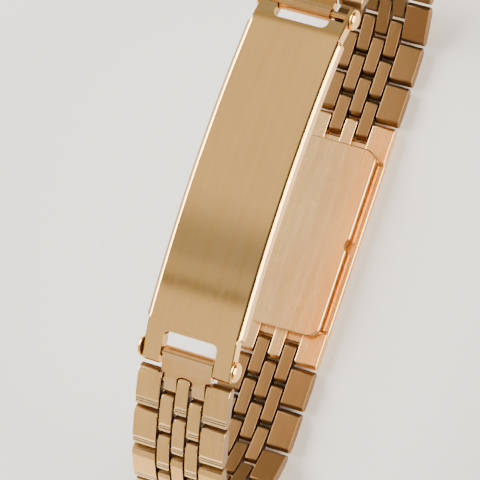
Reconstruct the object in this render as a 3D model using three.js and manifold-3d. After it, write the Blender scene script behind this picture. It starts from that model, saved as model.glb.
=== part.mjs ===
// A gold-tone identity bracelet, closed and lying on a surface with its plate up: a long blank plate,
// forked at both ends, two end tabs on cross pins, a band of link columns and a plain folded clasp.
// Millimetres, +Z up, +Y along the bracelet towards its far end, origin at the middle of its footprint.
import * as THREE from "three";
import { mergeVertices } from "three/addons/utils/BufferGeometryUtils.js";
import Module from "manifold-3d";

const wasm = await Module();
wasm.setup();

// Driving dimensions of the plate, in millimetres and degrees.
const plateWidth = 12;
const plateThickness = 1.7;
const plateEdgeBevel = 0.4;
const shoulderReach = 18.9; // from the plate's middle to its shoulder, along its curve
const plateArch = 9.65; // slope of the plate at the shoulder
const forkBend = 14; // further slope of the ears
const forkBendLength = 1.5;
const earInset = 0.5; // how far each ear stands in from the plate's long edge
const earLength = 5.2; // from the shoulder to the ear's end
const earEndBevel = 0.4;
const windowWidth = 7;
const windowInset = 0.95; // from the shoulder to the window's edge
const windowCorner = 0.8;
const hingeReach = 3.75; // from the shoulder to the cross pin
const flangeThickness = 0.45; // side flange that alone carries the pin at the far end
const flangeOpening = 0.6; // how far before the pin the far ears' top sheet ends

// Driving dimensions of the cross pins and the end tabs.
const hingePinRadius = 0.5;
const domeRadius = 1.3;
const domeHeight = 0.95;
const barrelRadius = 0.9;
const tabSpan = 3.4; // from the hinge pin to the pin of the first links
const tabAngle = 29; // slope of the tab below the plate's level
const tabTop = 0.82; // above the hinge pin's axis
const prongLap = 1.2; // how far the prongs reach past the first links' pin
const tabUnder = 0.62; // below that axis
const tabShoulder = 1.6; // from the hinge pin to where the tab's corners start
const notchReach = 2.2; // from the hinge pin to the rounded end of the notch
const notchDepth = 0.55; // of its rounding

// Driving dimensions of the link band.
const bandWidth = 12;
const innerLinkWidth = 1.6;
const columnGap = 0.25;
const linkPitch = 5.54; // one trio and one pair
const linkThickness = 1.6;
const linkEndGap = 0.24; // between links that follow each other in one column
const linkPinRadius = 0.36;
const linkPinSeat = 1.2; // how far a pair's pin reaches into the outer links
const rowsPerSide = 9;
const firstAngle = 33; // slope of the first links below the plate's level
const angleGain = 3.3; // slope that each of the next few half rows adds
const gentleSteps = 4;
const firstTrim = 0.37; // how far the first trio's centre link and inner corners stand back from the tab
const firstRounding = 0.22; // of that centre link's end

// Driving dimensions of the clasp.
const claspSpan = 30; // from pin to pin
const claspThickness = 2.7;
const claspLeaf = 1.1; // thickness of each folded leaf
const claspCorner = 1.6;
const claspInnerInset = 0.9; // how far the inner leaf stands in
const claspWaistInset = 1.5; // how far the metal between the leaves stands in
const claspBevel = 0.2;

// Clearances.
const pinClearance = 0.15;
const sideClearance = 0.25;
const domeClearance = 0.12;
const boreEndClearance = 0.2;

// Facets.
const pinSides = 8;
const hingeSides = 12;
const panelSteps = 5;
const bendSteps = 3;
const cornerSteps = 3;

const radians = THREE.MathUtils.degToRad;
const stride = linkPitch / 2;
const linkHalfLength = (linkPitch - linkEndGap) / 2;
const linkHalfThickness = linkThickness / 2;
const outerLinkWidth = (bandWidth - 3 * innerLinkWidth - 4 * columnGap) / 2;
const centreEdge = innerLinkWidth / 2;
const pairInner = centreEdge + columnGap;
const pairOuter = pairInner + innerLinkWidth;
const outerInner = pairOuter + columnGap;
const outerOuter = outerInner + outerLinkWidth;
const columns = {
  outerLeft: [-outerOuter, -outerInner],
  pairLeft: [-pairOuter, -pairInner],
  centre: [-centreEdge, centreEdge],
  pairRight: [pairInner, pairOuter],
  outerRight: [outerInner, outerOuter],
};
const earOuter = plateWidth / 2 - earInset;
const tabHalfWidth = windowWidth / 2 - sideClearance;

// A link's side outline, as shares of its half length and its half thickness. It goes round from the end
// that tucks under the link before it, along the inner face, to the stepped end and back over the top.
const linkOutline = [
  { along: -1.0, up: -0.1 },
  { along: -0.8, up: -1.0 },
  { along: 0.8, up: -1.0 },
  { along: 1.0, up: -0.1 },
  { along: 0.97, up: 0.45 },
  { along: 0.85, up: 0.8 },
  { along: 0.72, up: 0.72 },
  { along: 0.64, up: 0.96 },
  { along: 0.0, up: 1.0 },
  { along: -0.62, up: 0.93 },
  { along: -0.9, up: 0.55 },
];

// Turns a closed geometry into a solid that can be cut and joined.
function solidOf(geometry) {
  const bare = new THREE.BufferGeometry();
  bare.setAttribute("position", geometry.getAttribute("position"));
  if (geometry.index) bare.setIndex(geometry.index);
  const merged = mergeVertices(bare, 1e-4);
  return new wasm.Manifold(
    new wasm.Mesh({
      numProp: 3,
      vertProperties: new Float32Array(merged.attributes.position.array),
      triVerts: new Uint32Array(merged.index.array),
    }),
  );
}

function geometryOf(solid) {
  const made = solid.getMesh();
  const geometry = new THREE.BufferGeometry();
  geometry.setAttribute("position", new THREE.BufferAttribute(made.vertProperties, made.numProp));
  geometry.setIndex(new THREE.BufferAttribute(made.triVerts, 1));
  geometry.computeVertexNormals();
  return geometry;
}

// A side outline in the plane of Y and Z, drawn out across X.
function drawnAcross(outline, fromX, toX) {
  const shape = new THREE.Shape(outline.map(([along, up]) => new THREE.Vector2(along, up)));
  const geometry = new THREE.ExtrudeGeometry(shape, { depth: toX - fromX, bevelEnabled: false });
  const turn = new THREE.Matrix4().makeBasis(
    new THREE.Vector3(0, 1, 0),
    new THREE.Vector3(0, 0, 1),
    new THREE.Vector3(1, 0, 0),
  );
  return solidOf(geometry.applyMatrix4(turn).translate(fromX, 0, 0));
}

// A plan outline in the plane of X and Y, drawn out along Z.
function drawnUp(shape, fromZ, toZ, bevel = 0) {
  const geometry = new THREE.ExtrudeGeometry(shape, {
    depth: toZ - fromZ - 2 * bevel,
    bevelEnabled: bevel > 0,
    bevelThickness: bevel,
    bevelSize: bevel,
    bevelOffset: -bevel,
    bevelSegments: 1,
    curveSegments: cornerSteps,
  });
  return solidOf(geometry.translate(0, 0, fromZ + bevel));
}

// A round bar across X.
function rod(radius, fromX, toX, along, sides) {
  const geometry = new THREE.CylinderGeometry(radius, radius, toX - fromX, sides);
  geometry.rotateZ(Math.PI / 2);
  return solidOf(geometry.translate((fromX + toX) / 2, along, 0));
}

// The radius of a bore whose flats stay clear of a round pin.
function boreRadius(pinRadius, sides) {
  return (pinRadius + pinClearance) / Math.cos(Math.PI / sides);
}

function roundedRectangle(halfWide, fromY, toY, corner) {
  const shape = new THREE.Shape();
  shape.moveTo(-halfWide + corner, fromY);
  shape.lineTo(halfWide - corner, fromY);
  shape.absarc(halfWide - corner, fromY + corner, corner, -Math.PI / 2, 0);
  shape.lineTo(halfWide, toY - corner);
  shape.absarc(halfWide - corner, toY - corner, corner, 0, Math.PI / 2);
  shape.lineTo(-halfWide + corner, toY);
  shape.absarc(-halfWide + corner, toY - corner, corner, Math.PI / 2, Math.PI);
  shape.lineTo(-halfWide, fromY + corner);
  shape.absarc(-halfWide + corner, fromY + corner, corner, Math.PI, 1.5 * Math.PI);
  return shape;
}

// Place and slope of the plate's middle layer, at a distance along it from the plate's middle.
function plateTrack(reach) {
  const distance = Math.abs(reach);
  const archRadius = shoulderReach / radians(plateArch);
  const bendRadius = forkBendLength / radians(forkBend);
  const archShare = Math.min(distance, shoulderReach) / archRadius;
  let along = archRadius * Math.sin(archShare);
  let up = -archRadius * (1 - Math.cos(archShare));
  let slope = archShare;
  const past = distance - shoulderReach;
  if (past > 0) {
    const turned = Math.min(past, forkBendLength) / bendRadius;
    along += bendRadius * (Math.sin(slope + turned) - Math.sin(slope));
    up -= bendRadius * (Math.cos(slope) - Math.cos(slope + turned));
    slope += turned;
    const straight = Math.max(0, past - forkBendLength);
    along += straight * Math.cos(slope);
    up -= straight * Math.sin(slope);
  }
  const side = Math.sign(reach) || 1;
  return { along: side * along, up, slope: side * slope };
}

// Skins a row of sections, each a ring of points, and closes both ends.
function skinned(rings) {
  const points = rings.flat().flat();
  const size = rings[0].length;
  const faces = [];
  rings.slice(1).forEach((ring, row) => {
    for (let i = 0; i < size; i += 1) {
      const a = row * size + i;
      const b = row * size + ((i + 1) % size);
      faces.push(a, a + size, b, b, a + size, b + size);
    }
  });
  const last = (rings.length - 1) * size;
  for (let i = 1; i < size - 1; i += 1) {
    faces.push(0, i, i + 1);
    faces.push(last, last + i + 1, last + i);
  }
  const geometry = new THREE.BufferGeometry();
  geometry.setAttribute("position", new THREE.Float32BufferAttribute(points, 3));
  geometry.setIndex(faces);
  return solidOf(geometry);
}

// One section across the plate, square to its curve, with bevelled upper edges.
function plateSection({ reach, halfWide, drop = 0 }) {
  const { along, up, slope } = plateTrack(reach);
  const top = plateThickness / 2;
  const ring = [
    [-halfWide, -top + drop / 2],
    [halfWide, -top + drop / 2],
    [halfWide, top - plateEdgeBevel - drop],
    [halfWide - plateEdgeBevel, top - drop],
    [-halfWide + plateEdgeBevel, top - drop],
    [-halfWide, top - plateEdgeBevel - drop],
  ];
  return ring.map(([x, height]) => [
    x,
    along + height * Math.sin(slope),
    up + height * Math.cos(slope),
  ]);
}

// The frame at a hinge pin: +Y runs on along the ears, +Z stands up from their top.
function hingeFrame(side) {
  const { along, up, slope } = plateTrack(side * (shoulderReach + hingeReach));
  const frame = new THREE.Group();
  frame.position.set(0, along, up);
  frame.rotation.set(-slope, 0, side > 0 ? 0 : Math.PI, "XZY");
  frame.updateMatrix();
  return frame;
}

function idPlate() {
  const half = plateWidth / 2;
  const ends = [];
  for (let i = 1; i <= panelSteps; i += 1)
    ends.push({ reach: (shoulderReach * i) / panelSteps, halfWide: half });
  for (let i = 1; i <= bendSteps; i += 1)
    ends.push({ reach: shoulderReach + (forkBendLength * i) / bendSteps, halfWide: earOuter });
  const earEnd = shoulderReach + earLength;
  ends.push({ reach: earEnd - earEndBevel, halfWide: earOuter });
  ends.push({ reach: earEnd, halfWide: earOuter - earEndBevel / 2, drop: earEndBevel });
  const mirrored = ends.map((row) => ({ ...row, reach: -row.reach })).reverse();
  let plate = skinned([...mirrored, { reach: 0, halfWide: half }, ...ends].map(plateSection));
  for (const side of [1, -1]) {
    const { matrix } = hingeFrame(side);
    const past = earLength; // well past the ear's end
    const window = drawnUp(
      roundedRectangle(windowWidth / 2, windowInset - hingeReach, past, windowCorner),
      -plateWidth,
      plateWidth,
    );
    plate = plate.subtract(window.transform(matrix.elements));
    const bore = rod(boreRadius(hingePinRadius, hingeSides), -plateWidth, plateWidth, 0, hingeSides);
    plate = plate.subtract(bore.transform(matrix.elements));
  }
  const { matrix } = hingeFrame(1);
  const flangeInner = earOuter - flangeThickness;
  const pocket = [
    [-flangeOpening, -plateThickness],
    [earLength, -plateThickness],
    [earLength, plateThickness],
    [-flangeOpening, plateThickness],
  ];
  return plate.subtract(drawnAcross(pocket, -flangeInner, flangeInner).transform(matrix.elements));
}

// A cross pin with a domed head at each end, as one turned piece lying along X.
function hingePin() {
  const base = earOuter + domeClearance;
  const dome = [];
  for (let i = 0; i <= cornerSteps; i += 1) {
    const turn = (i / cornerSteps) * (Math.PI / 2);
    dome.push([domeRadius * Math.sin(turn), base + domeHeight * Math.cos(turn)]);
  }
  const half = [...dome, [hingePinRadius, base]];
  const profile = [...half, ...half.map(([r, x]) => [r, -x]).reverse()];
  const points = profile.map(([r, x]) => new THREE.Vector2(r < 1e-6 ? 0 : r, -x));
  const geometry = new THREE.LatheGeometry(points, hingeSides);
  return solidOf(geometry.rotateZ(Math.PI / 2));
}

// The tab's plan: full width at the barrel, then two prongs with a round-ended notch between them.
function tabPlan() {
  const nose = tabSpan + linkPitch;
  const shape = new THREE.Shape();
  const corner = tabHalfWidth - pairOuter;
  shape.moveTo(-tabHalfWidth, -2 * barrelRadius);
  shape.lineTo(tabHalfWidth, -2 * barrelRadius);
  shape.lineTo(tabHalfWidth, tabShoulder);
  shape.absarc(pairOuter, tabShoulder, corner, 0, Math.PI / 2);
  shape.lineTo(pairOuter, nose);
  shape.lineTo(pairInner, nose);
  shape.absellipse(0, notchReach + notchDepth, pairInner, notchDepth, 0, Math.PI, true);
  shape.lineTo(-pairInner, nose);
  shape.lineTo(-pairOuter, nose);
  shape.absarc(-pairOuter, tabShoulder, corner, Math.PI / 2, Math.PI);
  return shape;
}

// The pin that a pair, a tab or a plain end carries for the trio that follows it.
function pairPin(along) {
  const reach = outerInner + linkPinSeat;
  return rod(linkPinRadius, -reach, reach, along, pinSides);
}

function endTab() {
  const nose = tabSpan + prongLap;
  const side = [
    [0, -tabUnder],
    [tabSpan - linkHalfThickness, -tabUnder],
    [tabSpan, -linkHalfThickness * 0.9],
    [nose - linkHalfThickness / 3, -linkHalfThickness * 0.75],
    [nose, -linkHalfThickness * 0.1],
    [nose - linkHalfThickness / 6, linkHalfThickness * 0.4],
    [nose - linkHalfThickness / 2, linkHalfThickness * 0.65],
    [tabSpan - linkHalfThickness / 2, tabTop],
    [0, tabTop],
  ];
  const barrel = rod(barrelRadius, -tabHalfWidth, tabHalfWidth, 0, hingeSides);
  const body = drawnAcross(side, -tabHalfWidth, tabHalfWidth);
  const plan = drawnUp(tabPlan(), -linkThickness, linkThickness);
  const bore = rod(boreRadius(hingePinRadius, hingeSides), -bandWidth, bandWidth, 0, hingeSides);
  return barrel.add(body).intersect(plan).subtract(bore).add(pairPin(tabSpan));
}

function link([fromX, toX]) {
  const outline = linkOutline.map(({ along, up }) => [
    along * linkHalfLength,
    up * linkHalfThickness,
  ]);
  return drawnAcross(outline, fromX, toX);
}

// The bores at a trio's tucked end: right through the centre link and blind into the outer ones.
function trioBores(along) {
  const reach = outerInner + linkPinSeat + boreEndClearance;
  return rod(boreRadius(linkPinRadius, pinSides), -reach, reach, along, pinSides);
}

// The outer links and the centre link of one row, joined by the pin at their stepped end.
function trio() {
  const reach = (outerInner + outerOuter) / 2;
  const pin = rod(linkPinRadius, -reach, reach, stride / 2, pinSides);
  return link(columns.outerLeft)
    .add(link(columns.centre))
    .add(link(columns.outerRight))
    .subtract(trioBores(-stride / 2))
    .add(pin);
}

// The trio next to a tab: what lies behind the tab's shoulders and in its notch is cut back.
function firstTrio() {
  const reach = tabHalfWidth + sideClearance;
  const edge = firstTrim - linkHalfLength;
  const shape = new THREE.Shape();
  shape.moveTo(-reach, -linkPitch);
  shape.lineTo(reach, -linkPitch);
  shape.lineTo(reach, edge);
  shape.lineTo(pairInner, edge);
  shape.lineTo(pairInner, edge + firstRounding);
  shape.absellipse(0, edge + firstRounding, centreEdge, firstRounding, 0, Math.PI, true);
  shape.lineTo(-pairInner, edge + firstRounding);
  shape.lineTo(-pairInner, edge);
  shape.lineTo(-reach, edge);
  return trio().subtract(drawnUp(shape, -linkThickness, linkThickness));
}

// The two intermediate links, half a row further on, joined by the pin at their stepped end.
function pair() {
  const bore = rod(boreRadius(linkPinRadius, pinSides), -bandWidth, bandWidth, -stride / 2, pinSides);
  return link(columns.pairLeft)
    .add(link(columns.pairRight))
    .subtract(bore)
    .add(pairPin(stride / 2));
}

// The clasp, folded shut: an outer leaf, a narrower inner leaf and three lugs at each end.
function clasp() {
  const bodyReach = claspSpan / 2 - (linkHalfLength - stride / 2) - sideClearance;
  const half = bandWidth / 2;
  const leaf = (inset, fromZ, toZ, bevel) =>
    drawnUp(
      roundedRectangle(half - inset, inset - bodyReach, bodyReach - inset, claspCorner),
      fromZ,
      toZ,
      bevel,
    );
  const overlap = claspBevel * 1.5;
  let body = leaf(0, 0, claspLeaf, claspBevel)
    .add(leaf(claspWaistInset, claspLeaf - overlap, claspThickness - claspLeaf + overlap, 0))
    .add(leaf(claspInnerInset, claspThickness - claspLeaf, claspThickness, claspBevel));
  for (const side of [1, -1]) {
    const lugs = link(columns.outerLeft)
      .add(link(columns.centre))
      .add(link(columns.outerRight))
      .subtract(trioBores(-stride / 2));
    const place = new THREE.Matrix4()
      .makeTranslation(0, side * (claspSpan / 2 - stride / 2), linkHalfThickness)
      .multiply(new THREE.Matrix4().makeRotationZ(side > 0 ? 0 : Math.PI))
      .multiply(new THREE.Matrix4().makeRotationX(Math.PI));
    body = body.add(lugs.transform(place.elements));
  }
  return body;
}

// The slopes of the half rows from the tab to the clasp, for one turning step.
function bandSlopes(turnStep) {
  const slopes = [];
  for (let i = 0; i < 2 * rowsPerSide; i += 1) {
    const gentle = firstAngle + angleGain * Math.min(i, gentleSteps - 1);
    const turned = turnStep * Math.max(0, i - gentleSteps + 1);
    slopes.push(Math.min(180, gentle + turned));
  }
  return slopes;
}

// The pins of one side of the band, from the hinge pin on, and the slope of each piece between them.
function bandRoute(turnStep) {
  const hinge = plateTrack(shoulderReach + hingeReach);
  const slopes = [tabAngle, ...bandSlopes(turnStep)];
  let { along, up } = hinge;
  const spans = slopes.map((slope, i) => {
    const length = i === 0 ? tabSpan : stride;
    const from = { along, up };
    along += length * Math.cos(radians(slope));
    up -= length * Math.sin(radians(slope));
    return { from, to: { along, up }, slope: radians(slope) };
  });
  return { spans, along, up };
}

// The turning step with which the band's end reaches the clasp's pin.
function closingStep() {
  let low = (180 - firstAngle - angleGain * (gentleSteps - 1)) / (2 * rowsPerSide - gentleSteps);
  let high = 3 * low;
  for (let i = 0; i < 40; i += 1) {
    const middle = (low + high) / 2;
    if (bandRoute(middle).along > claspSpan / 2) low = middle;
    else high = middle;
  }
  return (low + high) / 2;
}

const gold = { roughness: 0.28, metalness: 1 };
const finishes = {
  plate: new THREE.MeshStandardMaterial({ color: 0xd9b680, ...gold }),
  tab: new THREE.MeshStandardMaterial({ color: 0xd2ad76, ...gold }),
  pin: new THREE.MeshStandardMaterial({ color: 0xe0bd88, ...gold }),
  link: new THREE.MeshStandardMaterial({ color: 0xcfa96f, ...gold }),
  clasp: new THREE.MeshStandardMaterial({ color: 0xcaa46c, ...gold }),
};

function placed(name, geometry, material, parent) {
  const mesh = new THREE.Mesh(geometry, material);
  mesh.name = name;
  parent.add(mesh);
  return mesh;
}

const route = bandRoute(closingStep());
const bracelet = new THREE.Group();
const upper = new THREE.Group();
upper.position.z = linkHalfThickness - route.up;
bracelet.add(upper);

placed("id_plate", geometryOf(idPlate()), finishes.plate, upper);
placed("clasp", geometryOf(clasp()), finishes.clasp, bracelet);

const pinShape = geometryOf(hingePin());
const tabShape = geometryOf(endTab());
const trioShape = geometryOf(trio());
const firstTrioShape = geometryOf(firstTrio());
const pairShape = geometryOf(pair());

for (const end of ["near", "far"]) {
  const side = new THREE.Group();
  side.rotation.z = end === "near" ? Math.PI : 0;
  upper.add(side);
  const [tabRun, ...runs] = route.spans;
  const pin = placed("hinge_pin_" + end, pinShape, finishes.pin, side);
  pin.position.set(0, tabRun.from.along, tabRun.from.up);
  const tab = placed("end_tab_" + end, tabShape, finishes.tab, side);
  tab.position.set(0, tabRun.from.along, tabRun.from.up);
  tab.rotation.x = -tabRun.slope;
  runs.forEach(({ from, to, slope }, i) => {
    const row = String(Math.floor(i / 2) + 1).padStart(2, "0");
    const kind = i % 2 === 0 ? "trio" : "pair";
    const shape = i === 0 ? firstTrioShape : kind === "trio" ? trioShape : pairShape;
    const piece = placed([end, "row", row, kind].join("_"), shape, finishes.link, side);
    piece.position.set(0, (from.along + to.along) / 2, (from.up + to.up) / 2);
    piece.rotation.x = -slope;
  });
}

export default bracelet;
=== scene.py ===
# A gold-tone identity bracelet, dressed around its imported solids: fine meshes, brushed and polished gold.
# Sizes are in millimetres, and a mesh turns into metres when it is finished.
import math
import bmesh
import bpy
from mathutils import Matrix, Vector


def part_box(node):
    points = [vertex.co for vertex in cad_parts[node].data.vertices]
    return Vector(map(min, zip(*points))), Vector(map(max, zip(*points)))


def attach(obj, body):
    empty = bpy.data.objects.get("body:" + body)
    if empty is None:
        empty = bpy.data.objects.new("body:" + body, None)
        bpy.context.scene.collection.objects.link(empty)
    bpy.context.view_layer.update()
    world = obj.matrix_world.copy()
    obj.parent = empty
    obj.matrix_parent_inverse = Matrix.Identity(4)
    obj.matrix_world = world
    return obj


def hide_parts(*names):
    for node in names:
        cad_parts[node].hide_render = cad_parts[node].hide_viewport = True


mm = 0.001
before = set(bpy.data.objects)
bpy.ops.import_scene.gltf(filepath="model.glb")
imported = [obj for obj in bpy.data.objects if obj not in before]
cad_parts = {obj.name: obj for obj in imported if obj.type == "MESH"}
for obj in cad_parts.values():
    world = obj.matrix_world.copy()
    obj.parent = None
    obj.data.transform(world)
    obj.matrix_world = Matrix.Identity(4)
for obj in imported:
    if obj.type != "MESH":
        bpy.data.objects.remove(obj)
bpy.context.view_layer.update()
print("frame loaded:", len(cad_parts), "solids")

# The plate's curve and the band's run, with the sizes that the solids have; angles are in degrees
plateSize = {
    "thickness": 1.7, "shoulder": 18.9, "arch": 9.65, "bend": 14.0, "bendLength": 1.5, "earLength": 5.2,
    "hinge": 3.75,
}
bandSize = {
    "width": 12.0, "inner": 1.6, "gap": 0.25, "pitch": 5.54, "thickness": 1.6, "endGap": 0.24,
    "pinRadius": 0.36, "pinSeat": 1.2, "seatSpare": 0.2, "bore": 0.53, "rows": 9, "firstAngle": 33.0,
    "angleGain": 3.3, "gentleSteps": 4, "tabSpan": 3.4, "tabAngle": 29.0, "claspSpan": 30.0,
    "turnLow": 8.0, "turnHigh": 27.0, "halvings": 40,
}
stride = bandSize["pitch"] / 2
linkHalfLength = (bandSize["pitch"] - bandSize["endGap"]) / 2
linkHalfThickness = bandSize["thickness"] / 2
centreEdge = bandSize["inner"] / 2
pairInner = centreEdge + bandSize["gap"]
pairOuter = pairInner + bandSize["inner"]
outerInner = pairOuter + bandSize["gap"]
outerOuter = bandSize["width"] / 2
pairPinReach = outerInner + bandSize["pinSeat"]
boreReach = pairPinReach + bandSize["seatSpare"]
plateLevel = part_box("id_plate")[1].z / mm - plateSize["thickness"] / 2


def plateTrack(reach, bendLength=plateSize["bendLength"]):
    # place along, height and slope of the plate's middle layer, for a distance from its middle
    size = plateSize
    distance = abs(reach)
    archRadius = size["shoulder"] / math.radians(size["arch"])
    bendRadius = bendLength / math.radians(size["bend"])
    slope = min(distance, size["shoulder"]) / archRadius
    along = archRadius * math.sin(slope)
    up = -archRadius * (1 - math.cos(slope))
    past = distance - size["shoulder"]
    if past > 0:
        turned = min(past, bendLength) / bendRadius
        along += bendRadius * (math.sin(slope + turned) - math.sin(slope))
        up -= bendRadius * (math.cos(slope) - math.cos(slope + turned))
        slope += turned
        straight = max(0.0, past - bendLength)
        along += straight * math.cos(slope)
        up -= straight * math.sin(slope)
    side = -1 if reach < 0 else 1
    return side * along, up, side * slope


hingeAlong, hingeUp, earSlope = plateTrack(plateSize["shoulder"] + plateSize["hinge"])


def bandRun(turnStep):
    # start, end and slope of the tab and of each half row of one side, out from the hinge pin
    size = bandSize
    along, up = hingeAlong, hingeUp
    spans = []
    for i in range(-1, 2 * size["rows"]):
        gentle = size["firstAngle"] + size["angleGain"] * min(i, size["gentleSteps"] - 1)
        turned = turnStep * max(0, i - size["gentleSteps"] + 1)
        slope = math.radians(size["tabAngle"] if i < 0 else min(180.0, gentle + turned))
        length = size["tabSpan"] if i < 0 else stride
        start = (along, up)
        along += length * math.cos(slope)
        up -= length * math.sin(slope)
        spans.append({"start": start, "end": (along, up), "slope": slope})
    return spans


def closedRun():
    # the turn from link to link is the one that brings the band's end to the clasp's pin
    low, high = bandSize["turnLow"], bandSize["turnHigh"]
    for _ in range(bandSize["halvings"]):
        middle = (low + high) / 2
        if bandRun(middle)[-1]["end"][0] > bandSize["claspSpan"] / 2:
            low = middle
        else:
            high = middle
    return bandRun((low + high) / 2)


spans = closedRun()

# The camera looks at the plate from its right and a little from its near end, as in the photograph.
# plateX and plateY are the pixel of the plate's middle in the photograph's frame.
view = {
    "side": 19.7, "end": 7.3, "roll": 18.7, "distance": 400.0, "pixelsPerMm": 8.46,
    "plateX": 240.3, "plateY": 174.8, "image": 480, "sensor": 36.0, "clipEnd": 10.0,
}


def makeCamera():
    side, end, roll = (math.radians(view[key]) for key in ("side", "end", "roll"))
    back = Vector((math.sin(side) * math.cos(end), -math.sin(end), math.cos(side) * math.cos(end)))
    right = Vector((math.cos(side), 0, -math.sin(side)))
    up = back.cross(right)
    imageRight = math.cos(roll) * right + math.sin(roll) * up
    imageUp = -math.sin(roll) * right + math.cos(roll) * up
    plateTop = Vector((0, 0, plateLevel + plateSize["thickness"] / 2))
    half = view["image"] / 2
    target = plateTop - imageRight * (view["plateX"] - half) / view["pixelsPerMm"]
    target -= imageUp * (half - view["plateY"]) / view["pixelsPerMm"]
    data = bpy.data.cameras.new("camera")
    data.sensor_width = view["sensor"]
    data.lens = view["pixelsPerMm"] * view["distance"] / view["image"] * view["sensor"]
    data.clip_end = view["clipEnd"]
    camera = bpy.data.objects.new("camera", data)
    turn = Matrix((imageRight, imageUp, back)).transposed().to_4x4()
    camera.matrix_world = Matrix.Translation((target + back * view["distance"]) * mm) @ turn
    bpy.context.collection.objects.link(camera)
    bpy.context.scene.camera = camera


makeCamera()
print("camera set")

# Shader node groups


class Nodes:
    # a short hand for making and joining nodes in one tree
    def __init__(self, tree):
        self.tree = tree

    def add(self, kind, inputs=None, **settings):
        node = self.tree.nodes.new(kind)
        for key, value in settings.items():
            setattr(node, key, value)
        for key, value in (inputs or {}).items():
            self.put(node.inputs[key], value)
        return node

    def put(self, socket, value):
        if isinstance(value, bpy.types.NodeSocket):
            self.tree.links.new(value, socket)
        else:
            socket.default_value = value

    def maths(self, operation, a, b, clamp=False):
        node = self.add("ShaderNodeMath", {0: a, 1: b}, operation=operation, use_clamp=clamp)
        return node.outputs[0]

    def scaled(self, vector, factors):
        node = self.add("ShaderNodeVectorMath", {0: vector, 1: factors}, operation="MULTIPLY")
        return node.outputs[0]

    def noise(self, vector, **inputs):
        values = {key.capitalize(): value for key, value in inputs.items()}
        return self.add("ShaderNodeTexNoise", {"Vector": vector, **values}).outputs["Fac"]

    def between(self, value, fromLow, fromHigh, toLow=0.0, toHigh=1.0):
        ends = {"From Min": fromLow, "From Max": fromHigh, "To Min": toLow, "To Max": toHigh}
        node = self.add("ShaderNodeMapRange", {"Value": value, **ends}, interpolation_type="SMOOTHSTEP")
        return node.outputs["Result"]

    def mixColour(self, factor, a, b):
        node = self.add("ShaderNodeMix", data_type="RGBA")
        self.put(node.inputs["Factor"], factor)
        self.put(node.inputs["A"], a)
        self.put(node.inputs["B"], b)
        return node.outputs["Result"]


def newGroup(name, inputs, outputs):
    # inputs are numbers with their defaults, and every output is a number too
    tree = bpy.data.node_groups.new(name, "ShaderNodeTree")
    for label, value in inputs.items():
        socket = tree.interface.new_socket(label, in_out="INPUT", socket_type="NodeSocketFloat")
        socket.default_value = value
    for label in outputs:
        tree.interface.new_socket(label, in_out="OUTPUT", socket_type="NodeSocketFloat")
    nodes = Nodes(tree)
    start = nodes.add("NodeGroupInput").outputs
    end = nodes.add("NodeGroupOutput").inputs
    return tree, nodes, start, end


brushLook = {
    "detail": 4.0, "roughness": 0.65, "fineShare": 0.7,
    "broadStretch": (0.14, 0.3, 1.0), "broadDetail": 2.0, "broadShare": 0.3, "streaks": (0.3, 0.7),
}


def makeBrushing():
    # hairlines along V of the UV map, which holds millimetres across and along each piece
    look = brushLook
    inputs = {"Lines": 9.0, "Length": 0.25}
    tree, nodes, start, end = newGroup("fineBrushing", inputs, ("Height", "Streaks"))
    uv = nodes.add("ShaderNodeUVMap", uv_map="millimetres").outputs[0]
    stretch = {"X": start["Lines"], "Y": start["Length"], "Z": 1.0}
    fine = nodes.scaled(uv, nodes.add("ShaderNodeCombineXYZ", stretch).outputs[0])
    lines = nodes.noise(fine, scale=1.0, detail=look["detail"], roughness=look["roughness"])
    broad = nodes.noise(nodes.scaled(fine, look["broadStretch"]), scale=1.0, detail=look["broadDetail"])
    fineHeight = nodes.maths("MULTIPLY", lines, look["fineShare"])
    broadHeight = nodes.maths("MULTIPLY", broad, look["broadShare"])
    nodes.put(end["Height"], nodes.maths("ADD", fineHeight, broadHeight))
    nodes.put(end["Streaks"], nodes.between(broad, *look["streaks"]))
    return tree


def makeWear():
    # brighter edges and darker corners, read from the mesh's own curvature
    inputs = {"EdgeLow": 0.51, "EdgeHigh": 0.58, "CornerHigh": 0.48, "CornerLow": 0.42}
    tree, nodes, start, end = newGroup("edgeWear", inputs, ("Edge", "Corner"))
    point = nodes.add("ShaderNodeNewGeometry").outputs["Pointiness"]
    nodes.put(end["Edge"], nodes.between(point, start["EdgeLow"], start["EdgeHigh"]))
    nodes.put(end["Corner"], nodes.between(point, start["CornerHigh"], start["CornerLow"]))
    return tree


tarnishLook = {
    "detail": 3.0, "drift": (0.35, 0.68),
    "smudgeScale": 4.5, "smudgeDetail": 5.0, "smudgeRoughness": 0.6, "smudge": (0.55, 0.75),
}


def makeTarnish():
    # slow drift of tone and small smudges, as polished gold picks up from handling
    look = tarnishLook
    tree, nodes, start, end = newGroup("softTarnish", {"Scale": 120.0, "Contrast": 0.5}, ("Mask", "Smudge"))
    place = nodes.add("ShaderNodeTexCoord").outputs["Object"]
    drift = nodes.noise(place, scale=start["Scale"], detail=look["detail"])
    small = nodes.maths("MULTIPLY", start["Scale"], look["smudgeScale"])
    spots = nodes.noise(place, scale=small, detail=look["smudgeDetail"], roughness=look["smudgeRoughness"])
    nodes.put(end["Mask"], nodes.maths("MULTIPLY", nodes.between(drift, *look["drift"]), start["Contrast"]))
    nodes.put(end["Smudge"], nodes.between(spots, *look["smudge"]))
    return tree


scratchLook = {
    "stretch": (11.0, 0.16, 1.0), "sharpness": 0.03,
    "angles": (8, -13, 31, -52), "levels": (0.735, 0.745, 0.76, 0.77),
}


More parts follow.
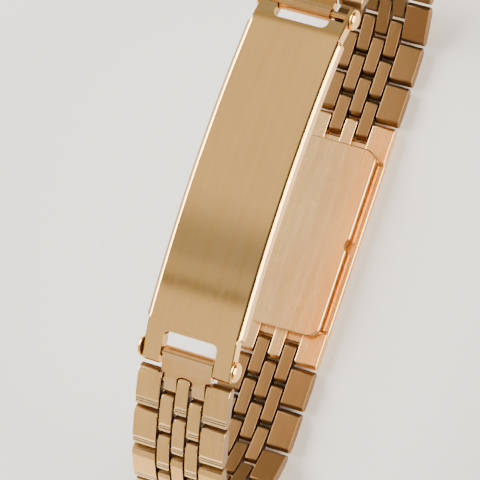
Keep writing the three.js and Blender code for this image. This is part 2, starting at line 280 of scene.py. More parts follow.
def makeScratches():
    # a few long hairline scratches at odd angles; a higher level leaves fewer of them
    look = scratchLook
    tree, nodes, start, end = newGroup("hairScratches", {"Amount": 0.5}, ("Mask",))
    uv = nodes.add("ShaderNodeUVMap", uv_map="millimetres").outputs[0]
    total = None
    for angle, level in zip(look["angles"], look["levels"]):
        turn = {"Vector": uv, "Rotation": (0, 0, math.radians(angle))}
        turned = nodes.add("ShaderNodeMapping", turn).outputs[0]
        noise = nodes.noise(nodes.scaled(turned, look["stretch"]), scale=1.0, detail=1.0)
        line = nodes.between(noise, level, level + look["sharpness"])
        total = line if total is None else nodes.maths("MAXIMUM", total, line)
    nodes.put(end["Mask"], nodes.maths("MULTIPLY", total, start["Amount"]))
    return tree


def makePaint():
    # what paintFaces wrote on the mesh: a painted highlight on some faces, and painted shade on faces that
    # lie in the gaps and recesses
    tree, nodes, start, end = newGroup("facePaint", {"Strength": 1.0}, ("HighlightMask", "ShadeMask"))
    paint = nodes.add("ShaderNodeVertexColor", layer_name="paint").outputs["Color"]
    parts = nodes.add("ShaderNodeSeparateColor", {0: paint}).outputs
    nodes.put(end["HighlightMask"], nodes.maths("MULTIPLY", parts[0], start["Strength"]))
    nodes.put(end["ShadeMask"], nodes.maths("MULTIPLY", parts[1], start["Strength"]))
    return tree


groups = {
    "brushing": makeBrushing(), "wear": makeWear(), "tarnish": makeTarnish(), "scratches": makeScratches(),
    "paint": makePaint(),
}
print("shader groups made")

# The golds: what each one has for itself, and what they share
finishes = {
    "plate_gold": {
        "colour": (0.985, 0.555, 0.16), "deep": (0.85, 0.469, 0.144), "bright": (0.975, 0.647, 0.286),
        "roughness": 0.08, "rough": 0.04, "lines": 9.0, "length": 0.16, "bump": 0.05, "scratch": 0.6,
    },
    "tab_gold": {
        "colour": (0.91, 0.43, 0.10), "deep": (0.75, 0.345, 0.08), "bright": (0.98, 0.60, 0.24),
        "roughness": 0.24, "rough": 0.08, "lines": 8.0, "length": 0.3, "bump": 0.05, "scratch": 0.3,
    },
    "pin_gold": {
        "colour": (1.0, 0.56, 0.15), "deep": (0.90, 0.42, 0.10), "bright": (1.0, 0.68, 0.26),
        "roughness": 0.12, "rough": 0.05, "lines": 5.0, "length": 2.0, "bump": 0.02, "scratch": 0.2,
    },
    "link_gold": {
        "colour": (0.963, 0.535, 0.16), "deep": (0.725, 0.365, 0.09), "bright": (1.0, 0.70, 0.32),
        "roughness": 0.25, "rough": 0.1, "lines": 13.0, "length": 0.35, "bump": 0.08, "scratch": 0.25,
    },
    "clasp_gold": {
        "colour": (0.963, 0.55, 0.194), "deep": (0.75, 0.4, 0.125), "bright": (1.0, 0.71, 0.36),
        "roughness": 0.26, "rough": 0.1, "lines": 8.0, "length": 0.2, "bump": 0.05, "scratch": 0.6,
    },
}
everyGold = {
    # the second and third tones here are the painted highlight and the painted shade
    "cornerTone": (0.33, 0.17, 0.06), "paintedHighlightTone": (1.0, 0.68, 0.32), "paintedShadeTone": (0.13, 0.065, 0.025),
    "edgeLow": 0.51, "edgeHigh": 0.60, "cornerHigh": 0.48, "cornerLow": 0.42,
    "tarnishScale": 95.0, "tarnishContrast": 0.55,
    "streakShare": 0.22, "cornerShare": 0.55, "edgeShare": 0.6, "grain": (0.3, 0.7),
    "smudgeRough": 0.05, "edgeSmooth": 0.08, "paintedShadeRough": 0.2, "scratchDepth": 1.2, "bumpDistance": 0.0002,
}


def makeGold(name):
    look, shared = finishes[name], everyGold
    material = bpy.data.materials.new(name)
    material.use_nodes = True
    tree = material.node_tree
    tree.nodes.clear()
    nodes = Nodes(tree)
    shader = nodes.add("ShaderNodeBsdfPrincipled", {"Metallic": 1.0})
    out = nodes.add("ShaderNodeOutputMaterial")
    tree.links.new(shader.outputs[0], out.inputs[0])

    def use(group, **inputs):
        node = nodes.add("ShaderNodeGroup", node_tree=groups[group])
        for key, value in inputs.items():
            nodes.put(node.inputs[key], value)
        return node.outputs

    def toned(factor, share, colour, tone):
        return nodes.mixColour(nodes.maths("MULTIPLY", factor, share), colour, (*tone, 1))

    brushing = use("brushing", Lines=look["lines"], Length=look["length"])
    wear = use(
        "wear", EdgeLow=shared["edgeLow"], EdgeHigh=shared["edgeHigh"],
        CornerHigh=shared["cornerHigh"], CornerLow=shared["cornerLow"],
    )
    tarnish = use("tarnish", Scale=shared["tarnishScale"], Contrast=shared["tarnishContrast"])
    scratches = use("scratches", Amount=look["scratch"])
    paint = use("paint", Strength=1.0)
    colour = nodes.mixColour(tarnish["Mask"], (*look["colour"], 1), (*look["deep"], 1))
    colour = toned(brushing["Streaks"], shared["streakShare"], colour, look["bright"])
    colour = toned(wear["Corner"], shared["cornerShare"], colour, shared["cornerTone"])
    colour = toned(wear["Edge"], shared["edgeShare"], colour, look["bright"])
    # a painted highlight and painted shade, laid on faces by paintFaces, go into the base colour
    colour = nodes.mixColour(paint["HighlightMask"], colour, (*shared["paintedHighlightTone"], 1))
    colour = nodes.mixColour(paint["ShadeMask"], colour, (*shared["paintedShadeTone"], 1))
    nodes.put(shader.inputs["Base Color"], colour)
    low, high = look["roughness"] - look["rough"] / 2, look["roughness"] + look["rough"] / 2
    rough = nodes.between(brushing["Height"], *shared["grain"], low, high)
    rough = nodes.maths("ADD", rough, nodes.maths("MULTIPLY", tarnish["Smudge"], shared["smudgeRough"]))
    smooth = nodes.maths("MULTIPLY", wear["Edge"], shared["edgeSmooth"])
    rough = nodes.maths("SUBTRACT", rough, smooth, clamp=True)
    rough = nodes.maths("ADD", rough, nodes.maths("MULTIPLY", paint["ShadeMask"], shared["paintedShadeRough"]))
    nodes.put(shader.inputs["Roughness"], rough)
    scratched = nodes.maths("MULTIPLY", scratches["Mask"], shared["scratchDepth"])
    height = nodes.maths("SUBTRACT", brushing["Height"], scratched)
    relief = {"Height": height, "Strength": look["bump"], "Distance": shared["bumpDistance"]}
    nodes.put(shader.inputs["Normal"], nodes.add("ShaderNodeBump", relief).outputs[0])
    return material


golds = {name: makeGold(name) for name in finishes}
print("materials made:", len(golds))

# Mesh helpers
cutTall = 4.0  # cutters reach this far up, down and along, past any piece
cutWide = 8.0  # and this far to each side
sharpAngle = 50  # degrees
arcShare = 0.49  # an arc takes up to this share of each line beside its corner


def meshObject(name, points, faces):
    mesh = bpy.data.meshes.new(name)
    mesh.from_pydata([Vector(point) for point in points], [], faces)
    mesh.validate()
    return bpy.data.objects.new(name, mesh)


def rounded(corners, steps=5):
    # corners are (x, y) or (x, y, radius); a radius turns a corner into an arc
    outline = []
    for i, corner in enumerate(corners):
        here = Vector(corner[:2])
        radius = corner[2] if len(corner) > 2 else 0
        before = Vector(corners[i - 1][:2]) - here
        after = Vector(corners[(i + 1) % len(corners)][:2]) - here
        if not radius:
            outline.append(here)
            continue
        half = before.angle(after) / 2
        reach = min(radius / math.tan(half), before.length * arcShare, after.length * arcShare)
        radius = reach * math.tan(half)
        centre = here + (before.normalized() + after.normalized()).normalized() * radius / math.sin(half)
        first = here + before.normalized() * reach - centre
        last = here + after.normalized() * reach - centre
        sweep = first.angle_signed(last)
        for k in range(steps + 1):
            turn = Matrix.Rotation(-sweep * k / steps, 2)
            outline.append(centre + turn @ first)
    return outline


def notchEnd(halfWide, base, depth, steps):
    # the round end of a notch, drawn from right to left
    turns = [math.pi * k / steps for k in range(steps + 1)]
    return [Vector((halfWide * math.cos(turn), base + depth * (1 - math.sin(turn)))) for turn in turns]


def loft(name, rings):
    # rings of equal length make the skin, and a flat face closes each end
    size = len(rings[0])
    faces = [list(range(size))[::-1], [(len(rings) - 1) * size + i for i in range(size)]]
    for row in range(len(rings) - 1):
        for i in range(size):
            a, b = row * size + i, row * size + (i + 1) % size
            faces.append([a, b, b + size, a + size])
    thing = meshObject(name, [point for ring in rings for point in ring], faces)
    faceOut(thing.data)
    return thing


def faceOut(mesh):
    work = bmesh.new()
    work.from_mesh(mesh)
    bmesh.ops.recalc_face_normals(work, faces=work.faces)
    work.to_mesh(mesh)
    work.free()


def applied(thing, kind, settings):
    # adds one modifier and keeps the mesh that it leaves
    bpy.context.collection.objects.link(thing)
    modifier = thing.modifiers.new(kind.lower(), kind)
    for key, value in settings.items():
        setattr(modifier, key, value)
    bpy.context.view_layer.update()
    evaluated = thing.evaluated_get(bpy.context.evaluated_depsgraph_get())
    mesh = bpy.data.meshes.new_from_object(evaluated)
    bpy.context.collection.objects.unlink(thing)
    thing.modifiers.clear()
    thing.data = mesh
    return thing


def combined(thing, operation, *others):
    for other in others:
        bpy.context.collection.objects.link(other)
        applied(thing, "BOOLEAN", {"object": other, "operation": operation, "solver": "EXACT"})
        bpy.data.objects.remove(other)
    return thing


def tidied(thing, join=0.004):
    work = bmesh.new()
    work.from_mesh(thing.data)
    bmesh.ops.remove_doubles(work, verts=work.verts, dist=join)
    bmesh.ops.dissolve_degenerate(work, edges=work.edges, dist=join)
    work.to_mesh(thing.data)
    work.free()
    return thing


def softened(thing, width, segments=2, angle=38):
    return applied(thing, "BEVEL", {
        "width": width, "segments": segments, "limit_method": "ANGLE",
        "angle_limit": math.radians(angle), "miter_outer": "MITER_ARC", "use_clamp_overlap": True,
    })


def across(name, outline, fromX, toX, rim=0.0, steps=3):
    # a side outline drawn out across the band, its two rims rounded
    halfTall = max(point.y for point in outline)
    halfLong = max(point.x for point in outline)
    middle, half = (fromX + toX) / 2, (toX - fromX) / 2
    places = [(-half, 0.0), (half, 0.0)]
    if rim:
        turns = [math.pi / 2 * k / steps for k in range(steps + 1)]
        stations = [(half - rim + rim * math.cos(turn), rim - rim * math.sin(turn)) for turn in turns]
        places = [(-x, inset) for x, inset in stations] + [(x, inset) for x, inset in reversed(stations)]
    rings = []
    for x, inset in places:
        tall, long = 1 - inset / halfTall, 1 - inset / halfLong
        rings.append([(middle + x, point.x * long, point.y * tall) for point in outline])
    return loft(name, rings)


def upright(name, outline, low=-cutTall, high=cutTall):
    return loft(name, [[(point.x, point.y, height) for point in outline] for height in (low, high)])


def circleAcross(x, radius, sides, along=0.0):
    turns = [2 * math.pi * k / sides for k in range(sides)]
    return [(x, along + radius * math.cos(turn), radius * math.sin(turn)) for turn in turns]


def rod(name, radius, reach=cutWide, along=0.0, sides=28):
    return loft(name, [circleAcross(x, radius, sides, along) for x in (-reach, reach)])


def joined(name, *things):
    work = bmesh.new()
    for thing in things:
        work.from_mesh(thing.data)
    mesh = bpy.data.meshes.new(name)
    work.to_mesh(mesh)
    work.free()
    return bpy.data.objects.new(name, mesh)


mapLook = {"wallNormal": 0.7, "wallShift": 3.7, "heightShare": 0.4}


def mapMillimetres(mesh):
    # across and along in millimetres, for the brushing; walls take the height instead of the width
    look = mapLook
    layer = mesh.uv_layers.new(name="millimetres")
    for polygon in mesh.polygons:
        wall = abs(polygon.normal.x) > look["wallNormal"]
        for loop in polygon.loop_indices:
            x, y, z = mesh.vertices[mesh.loops[loop].vertex_index].co
            layer.data[loop].uv = (z + look["wallShift"], y) if wall else (x, y + look["heightShare"] * z)


def paintFaces(mesh, rule):
    # red is a painted highlight and green is painted shade; the rule gives both for a face's middle and
    # normal
    layer = mesh.color_attributes.new("paint", "FLOAT_COLOR", "CORNER")
    for polygon in mesh.polygons:
        highlightShare, shadeShare = rule(polygon.center, polygon.normal)
        for loop in polygon.loop_indices:
            layer.data[loop].color = (highlightShare, shadeShare, 0, 1)


def finished(thing, material, node, matrix=None):
    # smooths the mesh, puts it in its place in metres and lets it stand for its solid
    mesh = thing.data
    if "millimetres" not in mesh.uv_layers:
        mapMillimetres(mesh)
    for polygon in mesh.polygons:
        polygon.use_smooth = True
    mesh.set_sharp_from_angle(angle=math.radians(sharpAngle))
    mesh.transform(Matrix.Scale(mm, 4) @ (matrix or Matrix.Identity(4)))
    mesh.materials.clear()
    mesh.materials.append(golds[material])
    bpy.context.collection.objects.link(thing)
    weighted = thing.modifiers.new("weighted normals", "WEIGHTED_NORMAL")
    weighted.keep_sharp = True
    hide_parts(node)
    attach(thing, "root")


def place(start, slope, near, level=plateLevel):
    # from a piece's own axes to the bracelet's: out along the band, and down by its slope
    matrix = Matrix.Translation((0, start[0], start[1] + level)) @ Matrix.Rotation(-slope, 4, "X")
    return Matrix.Rotation(math.pi, 4, "Z") @ matrix if near else matrix


# The plate
plateLook = {
    "halfWide": 6.18, "earHalf": 5.8, "chamferWide": 0.46, "chamferDeep": 0.42, "upperRound": 0.85,
    "lowerRound": 0.2, "underEdge": 0.12, "earEdge": 0.25, "stations": 26, "narrowFrom": 0.2,
    "narrowMiddle": 0.05, "bendStations": 4, "bendLength": 0.7, "endStraight": 1.2, "endChamfer": 0.4,
    "endStep": 0.1, "endTaper": 0.04, "endDrops": (0.75, 1.1), "window": 7.0, "windowInset": 0.95,
    "windowCorner": 0.7, "pinBore": 0.64, "flange": 0.6, "recessRight": 1.4, "recessLeft": 0.8,
    "recessFloor": -0.15, "recessTop": 3.0, "lip": 0.09,
}
# how strongly painted shade darkens each kind of plate face, and where it goes
platePaint = {
    "recess": 0.9, "leftSide": 0.85, "rightUpperRound": 0.5, "rightLowerRound": 0.6,
    "earFrom": 2.0, "windowSpare": 0.05, "sideBand": 0.2,
    # how far a face's normal leans for each of them
    "wallLean": 0.5, "floorLean": 0.5, "leftLean": 0.3,
    "upperLeans": (0.03, 0.4), "lowerLeans": (0.72, 0.95),
}


def plateRing(reach, halfWide, drop, edge):
    # the upper edges are chamfered with soft corners; edge scales that down on the ears.
    # The outline's first two corners lie on the middle line and only close it, so they are left out.
    look = plateLook
    top = plateSize["thickness"] / 2
    wide, deep = look["chamferWide"] * edge, look["chamferDeep"] * edge
    half = rounded([
        (0, -top), (0, top - drop), (halfWide - wide, top - drop, look["upperRound"] * edge),
        (halfWide, top - drop - deep, look["lowerRound"] * edge), (halfWide, -top, look["underEdge"]),
    ], 4)[2:]
    ring = [(x, h) for x, h in half] + [(-x, h) for x, h in reversed(half)]
    along, up, slope = plateTrack(reach, look["bendLength"])
    return [(x, along + h * math.sin(slope), up + h * math.cos(slope)) for x, h in ring]


def plateRows():
    # reach, half width, drop of the top and share of the edges, from the middle out to one end
    look = plateLook
    half, ear, fine, chamfer = look["halfWide"], look["earHalf"], look["earEdge"], look["endChamfer"]
    shoulder, end = plateSize["shoulder"], plateSize["shoulder"] + plateSize["earLength"]
    stations, bends = look["stations"], look["bendStations"]
    rows = [(shoulder * k / stations, half, 0.0, 1.0) for k in range(1, stations)]
    rows += [
        (shoulder - look["narrowFrom"], half, 0.0, 1.0),
        (shoulder - look["narrowMiddle"], (half + 2 * ear) / 3, 0.0, (1 + 2 * fine) / 3),
    ]
    rows += [(shoulder + look["bendLength"] * k / bends, ear, 0.0, fine) for k in range(bends + 1)]
    rows += [
        (end - chamfer - look["endStraight"], ear, 0.0, fine),
        (end - chamfer, ear, 0.0, fine),
        (end - look["endStep"], ear - look["endTaper"], chamfer * look["endDrops"][0], fine),
        (end, ear - 2 * look["endTaper"], chamfer * look["endDrops"][1], fine),
    ]
    return rows


def plateCutters(near):
    # the window for the tab and the pin's bore, and at the far end the recess in which the pin shows
    look = plateLook
    wide, corner = look["window"] / 2, look["windowCorner"]
    inner, far = look["windowInset"] - plateSize["hinge"], plateSize["earLength"]
    window = [(-wide, inner, corner), (wide, inner, corner), (wide, far), (-wide, far)]
    cutters = [upright("window", rounded(window)), rod("bore", look["pinBore"])]
    if not near:
        flange = look["earHalf"] - look["flange"]
        left, right = -look["recessLeft"], -look["recessRight"]
        recess = [(-flange, left), (flange, right), (flange, far), (-flange, far)]
        cutters.append(upright("recess", rounded(recess), look["recessFloor"], look["recessTop"]))
    for cutter in cutters:
        cutter.data.transform(place((hingeAlong, hingeUp), earSlope, near, 0.0))
    return cutters


def plateRule(middle, normal):
    # painted shade in the far ears' recesses, and painted shade on the left side and beside the right
    # chamfer, which darkens their reflections
    paint = platePaint
    ear = abs(middle.y) > plateSize["shoulder"] + paint["earFrom"]
    ear = ear and abs(middle.x) > plateLook["window"] / 2 + paint["windowSpare"]
    height = (middle.z - hingeUp) * math.cos(earSlope) + (abs(middle.y) - hingeAlong) * math.sin(earSlope)
    wall = middle.x * normal.x < -paint["wallLean"]
    floor = normal.z > paint["floorLean"] and height < plateSize["thickness"] / 4
    if ear and (wall or floor):
        return 0.0, paint["recess"]
    if abs(middle.x) < plateLook["earHalf"] - paint["sideBand"] or normal.z < -paint["floorLean"]:
        return 0.0, 0.0
    if normal.x < -paint["leftLean"]:
        return 0.0, paint["leftSide"]
    for key, leans in (("rightUpperRound", "upperLeans"), ("rightLowerRound", "lowerLeans")):
        if paint[leans][0] < normal.x < paint[leans][1]:
            return 0.0, paint[key]
    return 0.0, 0.0


def makePlate():
    rows = plateRows()
    back = [(-reach, *rest) for reach, *rest in reversed(rows)]
    middle = (0.0, plateLook["halfWide"], 0.0, 1.0)
    plate = loft("id_plate_fine", [plateRing(*row) for row in [*back, middle, *rows]])
    for near in (False, True):
        plate = combined(plate, "DIFFERENCE", *plateCutters(near))
    plate = softened(tidied(plate), plateLook["lip"])
    paintFaces(plate.data, plateRule)
    finished(plate, "plate_gold", "id_plate", Matrix.Translation((0, 0, plateLevel)))


makePlate()
print("plate made")

# The cross pins with their domed heads
pinLook = {
    "radius": 0.5, "dome": 1.3, "height": 0.74, "rim": 0.1, "fullness": 0.92, "clearance": 0.1,
    "underChamfer": 0.06, "collar": 0.12, "collarLength": 0.1, "sides": 48, "steps": 12,
    "shade": 0.85, "litFrom": 0.8,
}


def pinRule(middle, normal):
    # the shaft lies in shade, apart from its upper side
    shaded = abs(middle.x) < plateLook["window"] / 2 and normal.z < pinLook["litFrom"]
    return 0.0, pinLook["shade"] if shaded else 0.0


def makePin(name, near):
    look = pinLook
    base = plateLook["earHalf"] + look["clearance"]
    profile = []
    for k in range(1, look["steps"] + 1):
        turn = math.pi / 2 * k / look["steps"]
        radius = look["dome"] * math.sin(turn) ** look["fullness"]
        profile.append((radius, base + look["rim"] + (look["height"] - look["rim"]) * math.cos(turn)))
    profile += [
        (look["dome"] - look["underChamfer"], base), (look["radius"] + look["collar"], base),
        (look["radius"], base - look["collarLength"]),
    ]
    profile += [(radius, -x) for radius, x in reversed(profile)]
    pin = loft(name + "_fine", [circleAcross(x, radius, look["sides"]) for radius, x in profile])
    paintFaces(pin.data, pinRule)
    finished(pin, "pin_gold", name, place((hingeAlong, hingeUp), 0.0, near))


for end in ("near", "far"):
    makePin("hinge_pin_" + end, end == "near")
print("cross pins made")

# The end tabs
tabLook = {
    "barrel": 0.9, "barrelFrom": -80, "barrelSteps": 18, "top": 0.82, "under": 0.62, "halfWide": 3.25,
    "bore": 0.64, "nose": 4.78, "shelf": 2.9, "corner": 2.2, "cornerDrop": 0.25, "cornerRadius": 0.75,
    "stepRadius": 0.12, "notch": 2.2, "notchDepth": 0.55, "notchSteps": 16, "back": 2.0, "planTall": 3.0,
    "lip": 0.07, "lipAngle": 42, "shift": 0.15,
}
# how strongly the tab is painted: a highlight on the prongs and barrel top, shade on the rest, and where
tabPaint = {
    "gapWalls": 0.95, "seam": 0.8, "barrelBack": 0.55, "prongs": 0.55, "barrelTop": 0.4,
    "backTo": -0.3, "seamFrom": -0.46, "barrelTo": 0.35, "wallLean": 0.6,
}


def tabSide():
    look = tabLook
    barrel, top, under, nose = look["barrel"], look["top"], look["under"], look["nose"]
    span = bandSize["tabSpan"]
    corners = []
    for k in range(look["barrelSteps"] + 1):
        turn = math.radians(look["barrelFrom"] - 180 * k / look["barrelSteps"])
        corners.append((barrel * math.cos(turn), barrel * math.sin(turn)))
    corners += [
        # along, up, radius: over the top to the prongs' noses and back below
        (0.55, top, 0.5), (look["shelf"], top, 0.12), (nose - 0.4, 0.54, 0.4), (nose - 0.1, 0.26, 0.2),
        (nose, -0.1, 0.2), (nose - 0.27, -0.6, 0.2), (span, -0.72, 0.4), (span - 0.8, -under, 0.6),
        (0.75, -under, 0.4),
    ]
    return rounded(corners, 4)


def tabPlan():
    # seen from above: wide at the barrel, then two prongs with a round notch between them
    look = tabLook
    wide, back, far = look["halfWide"], -look["back"], look["nose"] + 1
    right = rounded([
        (-wide, back), (wide, back), (wide, look["corner"] - look["cornerDrop"], look["cornerRadius"]),
        (pairOuter, look["corner"], look["stepRadius"]), (pairOuter, far), (pairInner, far),
    ])
    left = [Vector((-point.x, point.y)) for point in reversed(right[1:])]
    return right + notchEnd(pairInner, look["notch"], look["notchDepth"], look["notchSteps"]) + left


def tabRule(middle, normal):
    # a painted highlight on the prongs and barrel, and painted shade on the walls between the links and on
    # the back of the barrel
    paint = tabPaint
    if middle.y > tabLook["corner"] and (abs(normal.x) > paint["wallLean"] or normal.z < 0.0):
        return 0.0, paint["gapWalls"]
    if middle.y < paint["backTo"]:
        return 0.0, paint["seam"] if middle.y > paint["seamFrom"] else paint["barrelBack"]
    if middle.y > tabLook["shelf"]:
        return paint["prongs"], 0.0
    return paint["barrelTop"] if middle.y < paint["barrelTo"] else 0.0, 0.0


def makeTab(name, near):
    look = tabLook
    tab = across("tab", tabSide(), -look["halfWide"], look["halfWide"])
    tab = combined(tab, "INTERSECT", upright("plan", tabPlan(), -look["planTall"], look["planTall"]))
    tab = combined(tab, "DIFFERENCE", rod("bore", look["bore"]))
    tab = softened(tidied(tab), look["lip"], angle=look["lipAngle"])
    pin = rod("pin", bandSize["pinRadius"], pairPinReach, bandSize["tabSpan"])
    tab = joined(name + "_fine", combined(tab, "UNION", pin))
    paintFaces(tab.data, tabRule)
    tab.data.transform(Matrix.Translation((-look["shift"], 0, 0)))
    finished(tab, "tab_gold", name, place(spans[0]["start"], spans[0]["slope"], near))


for end in ("near", "far"):
    makeTab("end_tab_" + end, end == "near")
print("end tabs made")

# The links
linkLook = {
    "rim": 0.13, "firstTrim": 0.37, "firstRounding": 0.22, "firstReach": 3.5, "firstSteps": 12,
    "firstTall": 2.0,
}
linkCorners = [
    # along, up, radius: from the tucked end round the inner face to the grooved end and over the top
    (-2.66, -0.35, 0.2), (-2.3, -0.8, 0.3), (2.15, -0.8, 0.35), (2.65, -0.08, 0.2), (2.62, 0.30, 0.15),
    (2.44, 0.60, 0.2), (2.09, 0.68, 0.05), (2.02, 0.54), (1.95, 0.67, 0.04), (1.76, 0.69, 0.04),
    (1.69, 0.57), (1.62, 0.70, 0.04), (1.26, 0.80, 0.05), (0.2, 0.80, 1.0), (-1.70, 0.76, 1.2),
    (-2.42, 0.42, 0.4),
]
# how strongly the links are painted: a highlight on the rolled ends, shade on walls, grooves and tucked
# ends, and where
linkPaint = {
    "facingWalls": 1.0, "tuckedEnd": 0.9, "outerWalls": 0.8, "groove": 0.8, "highlightShare": 0.75,
    "outerBand": 0.3, "tuckedTo": -2.35, "highlightFrom": 1.28, "grooveTo": 2.2,
    "facingLean": 0.75, "outerLean": 0.8, "grooveLean": 0.85, "grooveRise": 0.3,
}


def linkRule(middle, normal):
    # a painted highlight on the rolled ends, and painted shade on walls, grooves and tucked ends where the
    # links face each other, and on the outer walls
    paint = linkPaint
    if abs(middle.x) < outerOuter - paint["outerBand"] and abs(normal.x) > paint["facingLean"]:
        return 0.0, paint["facingWalls"]
    if middle.y < paint["tuckedTo"] or middle.z < 0.0:
        return 0.0, paint["tuckedEnd"]
    if abs(normal.x) > paint["outerLean"]:
        return 0.0, paint["outerWalls"]
    if abs(normal.y) > paint["grooveLean"] and normal.z > paint["grooveRise"]:
        return 0.0, paint["groove"] if middle.y < paint["grooveTo"] else 0.0
    return paint["highlightShare"] if middle.y > paint["highlightFrom"] else 0.0, 0.0


def linkBars(name, *bars):
    outline = rounded(linkCorners, 4)
    return joined(name, *[across("bar", outline, *bar, linkLook["rim"]) for bar in bars])


def trioBars(name, outer=outerOuter):
    return linkBars(name, (-outer, -outerInner), (-centreEdge, centreEdge), (outerInner, outer))


def bored(bars, reach):
    return combined(bars, "DIFFERENCE", rod("bore", bandSize["bore"], reach, -stride / 2))


def pinned(bars, reach):
    return combined(bars, "UNION", rod("pin", bandSize["pinRadius"], reach, stride / 2))


def makeTrio():
    return pinned(bored(trioBars("trio"), boreReach), (outerInner + outerOuter) / 2)


def makeFirstTrio():
    # next to a tab, what lies behind its shoulders and in its notch is cut back
    look = linkLook
    edge = look["firstTrim"] - linkHalfLength
    rounding, reach = look["firstRounding"], look["firstReach"]
    right = [(-reach, -cutTall), (reach, -cutTall), (reach, edge), (pairInner, edge)]
    right.append((pairInner, edge + rounding))
    left = [(-pairInner, edge + rounding), (-pairInner, edge), (-reach, edge)]
    notch = notchEnd(centreEdge, edge, rounding, look["firstSteps"])
    outline = [*map(Vector, right), *notch, *map(Vector, left)]
    cutter = upright("cut", outline, -look["firstTall"], look["firstTall"])
    return combined(makeTrio(), "DIFFERENCE", cutter)


def makePair():
    bars = linkBars("pair", (-pairOuter, -pairInner), (pairInner, pairOuter))
    return pinned(bored(bars, cutWide), pairPinReach)


def makeLinks():
    patterns = {"first trio": makeFirstTrio(), "trio": makeTrio(), "pair": makePair()}
    for pattern in patterns.values():
        mapMillimetres(pattern.data)
        paintFaces(pattern.data, linkRule)
    for end in ("near", "far"):
        for i, span in enumerate(spans[1:]):
            kind = "trio" if i % 2 == 0 else "pair"
            node = f"{end}_row_{i // 2 + 1:02d}_{kind}"
            pattern = patterns["first trio" if i == 0 else kind]
            piece = bpy.data.objects.new(node + "_fine", pattern.data.copy())
            middle = [(a + b) / 2 for a, b in zip(span["start"], span["end"])]
            finished(piece, "link_gold", node, place(middle, span["slope"], end == "near"))


makeLinks()
print("links made:", 2 * len(spans[1:]))

# The clasp, folded shut
claspLook = {
    "thickness": 2.7, "leaf": 1.1, "corner": 1.6, "innerInset": 0.9, "waistInset": 1.5, "overlap": 0.3,
    "lip": 0.22, "lipSegments": 3, "lipAngle": 50, "clearance": 0.25, "thumb": 1.1, "thumbInset": 0.25,
    "thumbSides": 40, "lugInset": 0.06,
}


def claspLeaf(name, inset, low, high, reach):
    look = claspLook
    half, long, corner = bandSize["width"] / 2 - inset, reach - inset, look["corner"]
    plan = [(-half, -long, corner), (half, -long, corner), (half, long, corner), (-half, long, corner)]
    leaf = upright(name, rounded(plan, 6), low, high)
    return softened(leaf, look["lip"], look["lipSegments"], look["lipAngle"])


def claspThumbs():
    # round cutters for the thumb notches in the inner leaf's sides
    look = claspLook
    thumbs = []
    for side in (-1, 1):
        thumb = rod("thumb", look["thumb"], look["thumb"], 0.0, look["thumbSides"])
        thumb.data.transform(Matrix.Rotation(math.pi / 2, 4, "Y"))
        sideways = side * (bandSize["width"] / 2 - look["thumbInset"])
        thumb.data.transform(Matrix.Translation((sideways, 0, look["thickness"])))
        thumbs.append(thumb)
    return thumbs


def claspLugs():
    # three bars at each end hold the last links' pins; drawn in a little, they share no plane with the leaf
    ends = []
    for side in (1, -1):
        lugs = bored(trioBars("lugs", outerOuter - claspLook["lugInset"]), boreReach)
        shift = Matrix.Translation((0, side * (bandSize["claspSpan"] / 2 - stride / 2), linkHalfThickness))
        turn = Matrix.Rotation(math.pi if side < 0 else 0.0, 4, "Z") @ Matrix.Rotation(math.pi, 4, "X")
        lugs.data.transform(shift @ turn)
        ends.append(lugs)
    return ends


def makeClasp():
    look = claspLook
    reach = bandSize["claspSpan"] / 2 - (linkHalfLength - stride / 2) - look["clearance"]
    thick, leaf, overlap = look["thickness"], look["leaf"], look["overlap"]
    outer = claspLeaf("outer leaf", 0.0, 0.0, leaf, reach)
    waist = claspLeaf("waist", look["waistInset"], leaf - overlap, thick - leaf + overlap, reach)
    inner = claspLeaf("inner leaf", look["innerInset"], thick - leaf, thick, reach)
    inner = combined(inner, "DIFFERENCE", *claspThumbs())
    body = combined(outer, "UNION", waist, inner)
    finished(joined("clasp_fine", body, *claspLugs()), "clasp_gold", "clasp")


makeClasp()
print("clasp made")

# Floor and light. In studio a pair of numbers is where a tone fades in or out along one axis of the sky.
studio = {
    "floor": (0.87, 0.845, 0.79), "floorHalf": 900.0, "floorDepth": 2.0, "floorRoughness": 0.75,
    "world": (1.0, 0.98, 0.94), "horizon": (0.47, 0.46, 0.40), "worldStrength": 0.99,
    "lean": 0.45, "lift": (0.15, 0.62), "overhead": (0.4, 0.6),
    "card": (0.49, 0.515, 0.56), "cardNear": (-0.15, -0.12), "cardFar": (0.10, -0.02),
    "gleam": 0.35, "gleamNear": (-0.12, -0.11), "gleamFar": (-0.06, -0.075),
    "band": (0.34, 0.33, 0.32), "bandNear": (-0.145, -0.135), "bandFar": (-0.108, -0.118),
    "shade": (0.12, 0.09, 0.07), "shadeLeft": (0.1, 0.3), "shadeRight": (0.85, 0.7), "shadeUp": (0.2, 0.45),
}
lights = {
    "key": {"power": 9.0, "size": 0.40, "place": (-0.46, 0.10, 0.27), "colour": (1.0, 0.985, 0.96)},
    "fill": {"power": 5.0, "size": 0.36, "place": (0.42, 0.05, 0.17), "colour": (1.0, 0.97, 0.93)},
}


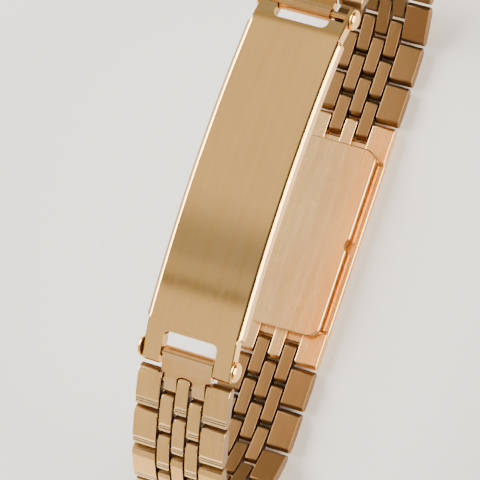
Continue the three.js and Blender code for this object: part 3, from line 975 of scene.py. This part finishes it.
def makeFloor():
    half = studio["floorHalf"]
    outline = rounded([(-half, -half), (half, -half), (half, half), (-half, half)])
    floor = upright("floor", outline, -studio["floorDepth"], 0.0)
    floor.data.transform(Matrix.Scale(mm, 4))
    material = bpy.data.materials.new("pale_floor")
    material.use_nodes = True
    shader = material.node_tree.nodes["Principled BSDF"]
    shader.inputs["Base Color"].default_value = (*studio["floor"], 1)
    shader.inputs["Roughness"].default_value = studio["floorRoughness"]
    floor.data.materials.append(material)
    bpy.context.collection.objects.link(floor)


def makeSky():
    # a soft pale sky with a grey card and a darker band overhead, and a shade at the right
    world = bpy.data.worlds.new("soft studio")
    world.use_nodes = True
    background = world.node_tree.nodes["Background"]
    nodes = Nodes(world.node_tree)
    aim = nodes.add("ShaderNodeTexCoord").outputs["Generated"]
    x, y, z = nodes.add("ShaderNodeSeparateXYZ", {0: aim}).outputs

    def strip(axis, start, end):
        rise = nodes.between(axis, *studio[start])
        return nodes.maths("MULTIPLY", rise, nodes.between(axis, *studio[end]))

    def toned(mask, colour, tone):
        return nodes.mixColour(mask, colour, (*studio[tone], 1))

    overhead = nodes.between(z, *studio["overhead"])
    lifted = nodes.maths("SUBTRACT", z, nodes.maths("MULTIPLY", y, studio["lean"]))
    colour = toned(nodes.between(lifted, *studio["lift"]), (*studio["horizon"], 1), "world")
    card = nodes.maths("MULTIPLY", strip(y, "cardNear", "cardFar"), overhead)
    gleam = nodes.maths("MULTIPLY", strip(y, "gleamNear", "gleamFar"), studio["gleam"])
    colour = toned(nodes.maths("SUBTRACT", card, gleam, clamp=True), colour, "card")
    colour = toned(nodes.maths("MULTIPLY", strip(y, "bandNear", "bandFar"), overhead), colour, "band")
    shadeUp = nodes.between(z, *studio["shadeUp"])
    colour = toned(nodes.maths("MULTIPLY", strip(x, "shadeLeft", "shadeRight"), shadeUp), colour, "shade")
    nodes.put(background.inputs["Color"], colour)
    background.inputs["Strength"].default_value = studio["worldStrength"]
    bpy.context.scene.world = world


def makeLight(name, look):
    data = bpy.data.lights.new(name, "AREA")
    data.energy = look["power"]
    data.size = look["size"]
    data.color = look["colour"]
    light = bpy.data.objects.new(name, data)
    light.location = look["place"]
    light.rotation_euler = (-Vector(look["place"])).to_track_quat("-Z", "Y").to_euler()
    bpy.context.collection.objects.link(light)


makeFloor()
makeSky()
for name, look in lights.items():
    makeLight(name, look)
print("studio set")
